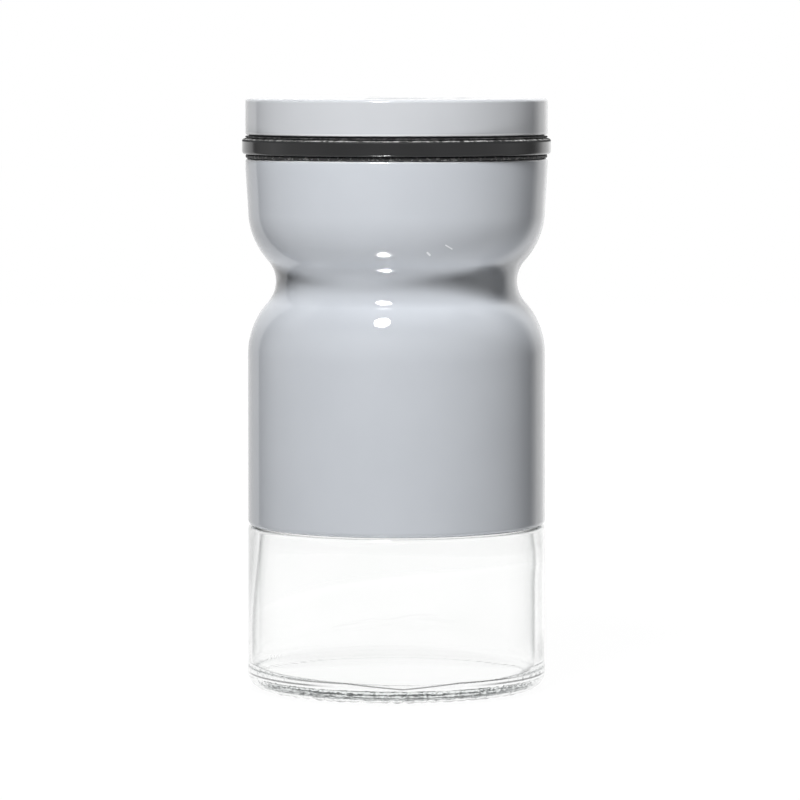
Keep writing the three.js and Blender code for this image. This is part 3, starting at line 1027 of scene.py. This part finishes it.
def bore_edge(tree):
    """Up to 1 where the wall of the jar's bore is seen edge on, from within or through the glass; painted
    shade darkens the glass there.
    """
    slant = add_slant(tree)
    within = seen_within(tree)
    height = add_axis(tree, "Z")
    wall = add_limit(tree, height, *BORE_WALL)
    wall_line = add_product(tree, add_rise(tree, slant, *WALL_SLANT), wall)
    fillet = add_limit(tree, height, *BORE_FILLET)
    fillet_line = add_product(tree, add_rise(tree, slant, *FILLET_SLANT), fillet)
    through = add_product(tree, add_most(tree, wall_line, fillet_line), within)
    bare = add_product(tree, add_rise(tree, slant, *WITHIN_SLANT), wall)
    edge = add_most(tree, through, add_math(tree, "SUBTRACT", bare, within))
    return add_product(tree, edge, add_ring(tree, BORE_EDGE, ABOVE_FLOOR))


def wall_shade(tree):
    """Up to 1 beside the edges of the bare glass, where its wall is seen along its depth."""
    slant = add_slant(tree)
    rise = add_rise(tree, slant, *SHADE_RISE)
    fall = add_range(tree, slant, 1, 0, *SHADE_FALL)
    return add_product(tree, add_ring(tree, SHADE_EDGE, SHADE_FOOT), rise, fall)


def guided_light(tree):
    """Roughness that blurs what the bore's wall mirrors inside the glass."""
    blur = add_range(tree, add_slant(tree), 0, MIRROR_BLUR, *MIRROR_SLANT)
    return add_product(tree, blur, add_ring(tree, BORE_EDGE, MIRROR_FOOT), seen_within(tree))


def heel_shade_lines(tree):
    """Up to 1 in painted dark lines and grey specks round the heel, which stand in for its refraction lines,
    on the side of it that faces the eye.
    """
    radius, height = add_radius(tree), add_axis(tree, "Z")
    lines = add_most(tree, *[add_level(tree, height, level, HEEL_LINE_WIDTH) for level in HEEL_LINES])
    broken = add_rise(tree, add_noise(tree, size=4, detail=3), start=0.4, end=0.55)
    dots = add_range(tree, add_noise(tree, size=0.8, detail=2), HEEL_GREY, 1, start=0.56, end=0.66)
    specks = add_product(tree, add_limit(tree, height, *HEEL_BAND), dots)
    painted_marks = add_most(tree, add_product(tree, lines, broken), specks)
    below_floor = add_limit(tree, height, *BELOW_FLOOR)
    outside = add_most(tree, below_floor, add_limit(tree, radius, *OUTER_EDGE))
    return add_product(tree, painted_marks, add_limit(tree, radius, *HEEL_EDGE), seen_outside(tree), outside)


def painted_fold_line(tree):
    """Up to 1 in a painted dark line at the front of the heel, which dips at one place and stands in for a
    refraction line.
    """
    height = add_axis(tree, "Z")
    from_dip = add_math(tree, "SUBTRACT", add_axis(tree, "X"), FOLD_DIP_PLACE * MM)
    away = add_math(tree, "ABSOLUTE", from_dip)
    rise = add_range(tree, away, 0, FOLD_RISE * MM, 0, FOLD_SPAN * MM)
    line = add_level(tree, add_math(tree, "SUBTRACT", height, rise), FOLD_HEIGHT, FOLD_WIDTH)
    fold = add_product(tree, line, add_limit(tree, away, *FOLD_REACH))
    side_line = add_level(tree, height, SIDE_FOLD_HEIGHT, SIDE_FOLD_WIDTH)
    side_fold = add_product(tree, side_line, add_limit(tree, away, *SIDE_FOLD_REACH))
    front = add_limit(tree, add_axis(tree, "Y"), *FOLD_FRONT)
    return add_product(tree, add_most(tree, fold, side_fold), front, seen_outside(tree))


def foot_contact_shade(tree):
    """Up to 1 in flecks along the foot's edge, which paint contact shade where the teeth meet the floor."""
    flecks = add_rise(tree, add_noise(tree, size=1.3, detail=2), start=0.5, end=0.62)
    return add_product(tree, add_ring(tree, FOOT_EDGE, FOOT_TOP), seen_outside(tree), flecks)


def hammered_heel(tree):
    """Uneven surface of the heel, where the mould's parts met."""
    return add_product(tree, add_ring(tree, DENT_EDGE, DENT_TOP), add_noise(tree, size=1.1, detail=2))


# Materials


def clear_glass():
    """Clear pressed glass: faintly wavy, stippled underneath, with a trace of grey-green in its depth.
    Painted shade darkens it where its walls are seen edge on, and painted dark lines and flecks stand in for
    refraction lines and contact shade.
    """
    material, tree, shader = new_material("clear_glass")
    lines = add_range(tree, heel_shade_lines(tree), 0.0, HEEL_STRENGTH)
    folds = add_range(tree, painted_fold_line(tree), 0.0, FOLD_STRENGTH)
    painted_marks = add_most(tree, foot_contact_shade(tree), lines, folds)
    colour = add_patches(tree, size=12, detail=2, colours=GLASS_TINTS)
    # painted shade at the bore's edge, painted dark lines and contact shade, and painted shade beside the
    # bare wall's edges
    layers = [
        add_ramp(tree, bore_edge(tree), BORE_EDGE_SHADE),
        add_ramp(tree, painted_marks, [(0.0, CLEAR), (1.0, PAINTED_LINE_TINT)]),
        add_ramp(tree, wall_shade(tree), [(0.0, CLEAR), (1.0, SHADE_TINT)]),
    ]
    for layer in layers:
        colour = add_mix(tree, 1.0, colour, layer, "MULTIPLY")
    underside = add_ring(tree, UNDERSIDE_EDGE, UNDERSIDE_TOP)
    stipple = add_range(tree, underside, low=0.0, high=0.05)
    haze = add_range(tree, add_noise(tree, size=5, detail=3), low=0.0, high=0.02, start=0.5, end=0.8)
    ripple = add_bump(tree, add_noise(tree, size=12, detail=1), depth=0.03, strength=0.2)
    set_inputs(tree, shader, {
        "Base Color": colour,
        "Transmission Weight": 1.0,
        "Roughness": add_most(tree, haze, stipple, guided_light(tree)),
        "IOR": add_range(tree, underside, GLASS_IOR, UNDERSIDE_IOR),
        "Normal": add_bump(tree, hammered_heel(tree), depth=0.13, strength=0.6, under=ripple),
    })
    inner = add_node(tree, "VolumeAbsorption", {"Color": DEPTH_TINT, "Density": DEPTH_DENSITY})
    set_output(tree, Volume=inner.outputs["Volume"])
    return material


def grey_paint(name, greys, edge, glinting_nicks=()):
    """Glossy enamel between two greys: orange peel and a few dull patches, with a painted highlight at the
    height of a thin edge and near-white nicks that paint the glints of scratches, on steel that is bare
    inside."""
    material, tree, shader = new_material(name)
    paint = add_patches(tree, size=18, detail=3, colours=greys)
    # painted highlight along a thin edge, the sleeve's rim or the cap's foot
    highlight_line = add_level(tree, add_axis(tree, "Z"), edge, HIGHLIGHT_REACH)
    paint = add_mix(tree, highlight_line, paint, EDGE_HIGHLIGHT)
    # near-white strokes: scratches, painted as their glints
    for start, end, reach in glinting_nicks:
        paint = add_mix(tree, add_stroke(tree, start, end, reach), paint, NICK_GLINT_COLOUR)
    steel = add_patches(tree, size=3, detail=5, colours=STEEL_GREYS)
    inside = inside_share(tree)
    brushed = add_range(tree, inside, low=0.0, high=0.3)
    dull = add_range(tree, add_noise(tree, size=7, detail=4), low=0.03, high=0.07, start=0.35, end=0.7)
    set_inputs(tree, shader, {
        "Base Color": add_mix(tree, inside, paint, steel),
        "Metallic": inside,
        "Roughness": add_most(tree, dull, brushed),
        "Normal": add_bump(tree, add_noise(tree, size=1.6, detail=1), depth=0.01, strength=0.25),
        "IOR": PAINT_IOR,
    })
    return material


def black_plastic(name, worn_height=None, dust=None):
    """Satin black moulding: fine grain and rubbed patches, with scuffs and pale dust along one edge
    where its height and the dust's colour are given."""
    material, tree, shader = new_material(name)
    colour = add_patches(tree, size=6, detail=4, colours=PLASTIC_BLACKS, start=0.35)
    gloss = add_range(tree, add_noise(tree, size=4, detail=5), low=0.1, high=0.2, start=0.35, end=0.7)
    if dust:
        height = add_axis(tree, "Z")
        scuffs = add_range(tree, add_level(tree, height, worn_height, WEAR_REACH), low=0.0, high=0.7)
        gloss = add_most(tree, gloss, scuffs)
        line = add_level(tree, height, worn_height, DUST_REACH)
        patches = add_range(tree, add_noise(tree, size=9, detail=2), low=0.7, high=1.3)
        flecks = add_product(tree, line, add_noise(tree, size=0.9, detail=4), patches)
        colour = add_mix(tree, 1.0, colour, add_ramp(tree, flecks, [(0.42, BLACK), (0.72, dust)]), "ADD")
    set_inputs(tree, shader, {
        "Base Color": colour,
        "Roughness": gloss,
        "Normal": add_bump(tree, add_noise(tree, size=0.35, detail=2), depth=0.006, strength=0.25),
        "IOR": PLASTIC_IOR,
    })
    return material


def black_rubber():
    """Matt rubber: rough, with pale specks of dust in its pores."""
    material, tree, shader = new_material("black_rubber")
    specks = add_noise(tree, size=0.7, detail=3)
    set_inputs(tree, shader, {
        "Base Color": add_ramp(tree, specks, RUBBER_TONES),
        "Roughness": add_range(tree, specks, low=0.45, high=0.8, start=0.35, end=0.6),
        "Normal": add_bump(tree, add_noise(tree, size=0.5, detail=3), depth=0.06, strength=0.6),
    })
    return material


def pale_silicone():
    """Milky silicone: soft, with a cloudy depth."""
    material, tree, shader = new_material("pale_silicone")
    set_inputs(tree, shader, {
        "Base Color": add_patches(tree, size=5, detail=3, colours=SILICONE_TONES),
        "Roughness": add_range(tree, add_noise(tree, size=2, detail=3), low=0.4, high=0.6),
        "Subsurface Weight": SILICONE_CLOUD,
        "Subsurface Radius": SILICONE_DEPTH,
        "Normal": add_bump(tree, add_noise(tree, size=0.6, detail=2), depth=0.01, strength=0.3),
    })
    return material


# Stage


def hide_from(thing, *rays):
    """Hides a thing from some kinds of rays."""
    set_all(thing, **{"visible_" + ray: False for ray in rays})


def ray_kinds(tree):
    """1 for rays of the camera, and 1 for rays of gloss and through glass."""
    path = add_node(tree, "LightPath").outputs
    return path["Is Camera Ray"], add_most(tree, path["Is Glossy Ray"], path["Is Transmission Ray"])


def make_floor():
    """Plain white floor that keeps a faint shadow of the object."""
    builder = bmesh.new()
    bmesh.ops.create_grid(builder, x_segments=1, y_segments=1, size=STAGE_SIZE / 2)
    floor = new_object("floor", builder)
    floor.location.z = -STAGE_DROP
    material, tree, shader = new_material("floor")
    tree.nodes.remove(shader)
    cover = add_node(tree, "BsdfDiffuse", {"Color": STAGE_COLOUR})
    level = add_range(tree, add_radius(tree), *STAGE_GLOW, *STAGE_SPREAD)
    seen = add_most(tree, *ray_kinds(tree))
    glow = add_node(tree, "Emission", {"Strength": add_product(tree, level, seen)})
    both = add_node(tree, "AddShader", {0: cover.outputs["BSDF"], 1: glow.outputs["Emission"]})
    set_output(tree, Surface=both.outputs["Shader"])
    floor.data.materials.append(material)
    hide_from(floor, "shadow")


def make_card(name, side, levels):
    """An upright card on one side that only reflections show, plain white close to the floor and for
    light that has been through glass. levels holds (bearing, brightness), in degrees off the back."""
    first, last = levels[0][0], levels[-1][0]
    builder = bmesh.new()
    columns = []
    for i in range(CARD_STEPS + 1):
        x, y = polar(CARD_DISTANCE, pi / 2 - side * radians(first + (last - first) * i / CARD_STEPS))
        columns.append([builder.verts.new((x, y, z)) for z in (CARD_FOOT, CARD_TOP)])
    for (low, high), (next_low, next_high) in zip(columns, columns[1:]):
        builder.faces.new((low, next_low, next_high, high))
    card = new_object(name, builder)
    material, tree, shader = new_material(name)
    tree.nodes.remove(shader)
    turn = add_math(tree, "ARCTAN2", add_axis(tree, "X"), add_axis(tree, "Y"))
    share = add_rise(tree, turn, side * radians(first), side * radians(last))
    peak = max(level for _, level in levels)
    stops = [((bearing - first) / (last - first), [level / peak] * 3) for bearing, level in levels]
    behind_glass = add_node(tree, "LightPath").outputs["Transmission Depth"]
    plain = add_most(tree, behind_glass, add_range(tree, add_axis(tree, "Z"), 1, 0, 0.0, CARD_FADE))
    shown = add_mix(tree, plain, add_ramp(tree, share, stops), (1 / peak, 1 / peak, 1 / peak, 1))
    glow = add_node(tree, "Emission", {"Color": shown, "Strength": peak})
    set_output(tree, Surface=glow.outputs["Emission"])
    card.data.materials.append(material)
    hide_from(card, "camera", "diffuse", "transmission", "shadow")


def make_softbox(name, bearing, rise, distance, size, power, shows=False):
    """A lamp aimed at the object, with its bearing in degrees from the front, to the right, and its rise
    in degrees. Gloss and glass see it only where it shows. A lamp under the floor shines through it, but
    the floor hides it."""
    lamp = bpy.data.lights.new(name, "AREA")
    lamp.cycles.use_multiple_importance_sampling = rise > 0
    set_all(lamp, shape="ELLIPSE", size=size[0], size_y=size[1], energy=power)
    holder = add_object(name, lamp)
    side, lift = radians(bearing), radians(rise)
    back = Vector((sin(side) * cos(lift), -cos(side) * cos(lift), sin(lift)))
    holder.location = AIM + back * distance
    holder.rotation_euler = back.to_track_quat("Z", "Y").to_euler()
    hide_from(holder, "camera")
    if not shows:
        hide_from(holder, "glossy", "transmission")


def make_world():
    """White all round for the eye, with a dim ceiling for gloss and glass and a low light of its own."""
    world = bpy.data.worlds.new("studio")
    world.use_nodes = True
    bpy.context.scene.world = world
    tree = world.node_tree
    direction = add_node(tree, "TexCoord").outputs["Generated"]
    upward = add_node(tree, "SeparateXYZ", {"Vector": direction}).outputs["Z"]
    ceiling = add_range(tree, upward, 1.0, CEILING_LIGHT, *CEILING_RISE)
    camera, mirrored = ray_kinds(tree)
    shown = add_most(tree, camera, add_product(tree, ceiling, mirrored))
    strength = add_range(tree, shown, AMBIENT_LIGHT, 1.0)
    set_inputs(tree, tree.nodes["Background"], {"Color": (1, 1, 1, 1), "Strength": strength})


def make_camera():
    """Camera in front of the object, a little above its middle."""
    lens = set_all(bpy.data.cameras.new("camera"), sensor_width=CAMERA_SENSOR, lens=CAMERA_LENS)
    camera = add_object("camera", lens)
    camera.location = CAMERA_PLACE
    camera.rotation_euler = (radians(90 - CAMERA_PITCH), 0, 0)
    bpy.context.scene.camera = camera


make_jar(clear_glass())
make_sleeve(grey_paint("sleeve_paint", SLEEVE_GREYS, node_span("outer_sleeve")[1], GLINTING_NICKS))
make_gasket(black_rubber())
make_seal(pale_silicone())
make_collar(black_plastic("dusty_plastic", band_span()[1], BAND_DUST))
make_liner(black_plastic("dusty_liner", dial_foot("dial_liner"), LINER_DUST))
make_cap(grey_paint("cap_paint", CAP_SHADED_GREYS, dial_foot("dial_cap") + HIGHLIGHT_REACH))
make_clip(black_plastic("black_plastic"))

make_floor()
make_card("card_right", 1, RIGHT_CARD)
make_card("card_left", -1, LEFT_CARD)
make_softbox("key", bearing=-15.5, rise=53.6, distance=0.45, size=(0.082, 0.113), power=2.2, shows=True)
make_softbox("lower_key", bearing=-15.9, rise=-63, distance=0.903, size=(0.15, 0.115), power=5.2, shows=True)
make_softbox("left_fill", bearing=-80, rise=10, distance=0.8, size=(0.3, 0.3), power=0.3)
make_softbox("right_high", bearing=64, rise=58, distance=0.28, size=(0.12, 0.12), power=0.165)
make_softbox("right_low", bearing=64, rise=-55, distance=0.35, size=(0.12, 0.12), power=0.145)
make_softbox("back_fill", bearing=180, rise=30, distance=1.2, size=(0.8, 0.8), power=11.0)
make_world()
make_camera()
scene = bpy.context.scene
scene.view_settings.view_transform = "Standard"
scene.cycles.max_bounces = 32
scene.cycles.glossy_bounces = 24
scene.cycles.transmission_bounces = 32
